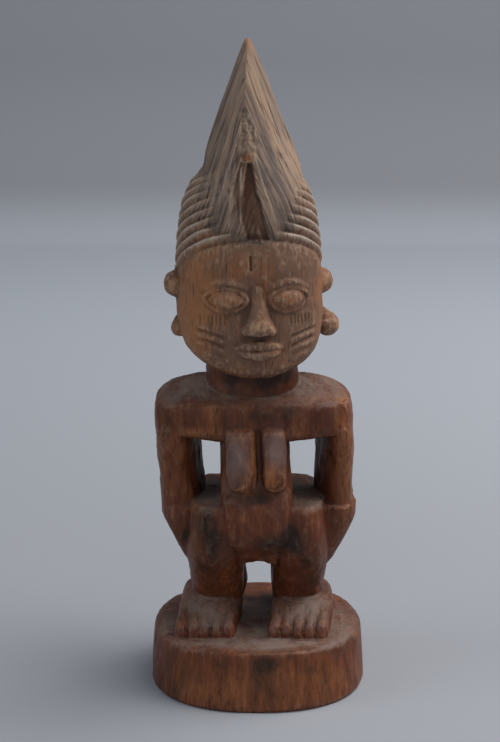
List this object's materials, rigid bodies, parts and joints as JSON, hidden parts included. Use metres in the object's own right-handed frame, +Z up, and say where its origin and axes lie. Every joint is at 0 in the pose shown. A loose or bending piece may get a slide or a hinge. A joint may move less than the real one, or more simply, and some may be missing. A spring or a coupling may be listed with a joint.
{
  "type": "twin figure",
  "caption": "Carved wooden standing twin figure (ere ibeji) with a tall pointed coiffure, free arms held to the thighs and a round plinth, all one piece.",
  "frame": {"origin": "centre of the plinth's flat underside, which is also the middle of the bounding box in X and Y", "axes": "+Z up through the crest, -Y towards the front of the figure, +X towards the figure's left hand"},
  "size_m": [0.09, 0.091, 0.2702],
  "materials": {
    "stained_wood": "hand-carved hardwood with a worn dark red-brown stain, blackish patina in the hollows and a drier grey-tan head"
  },
  "bodies": {
    "root": {"figure": "stained_wood"}
  },
  "joints": []
}
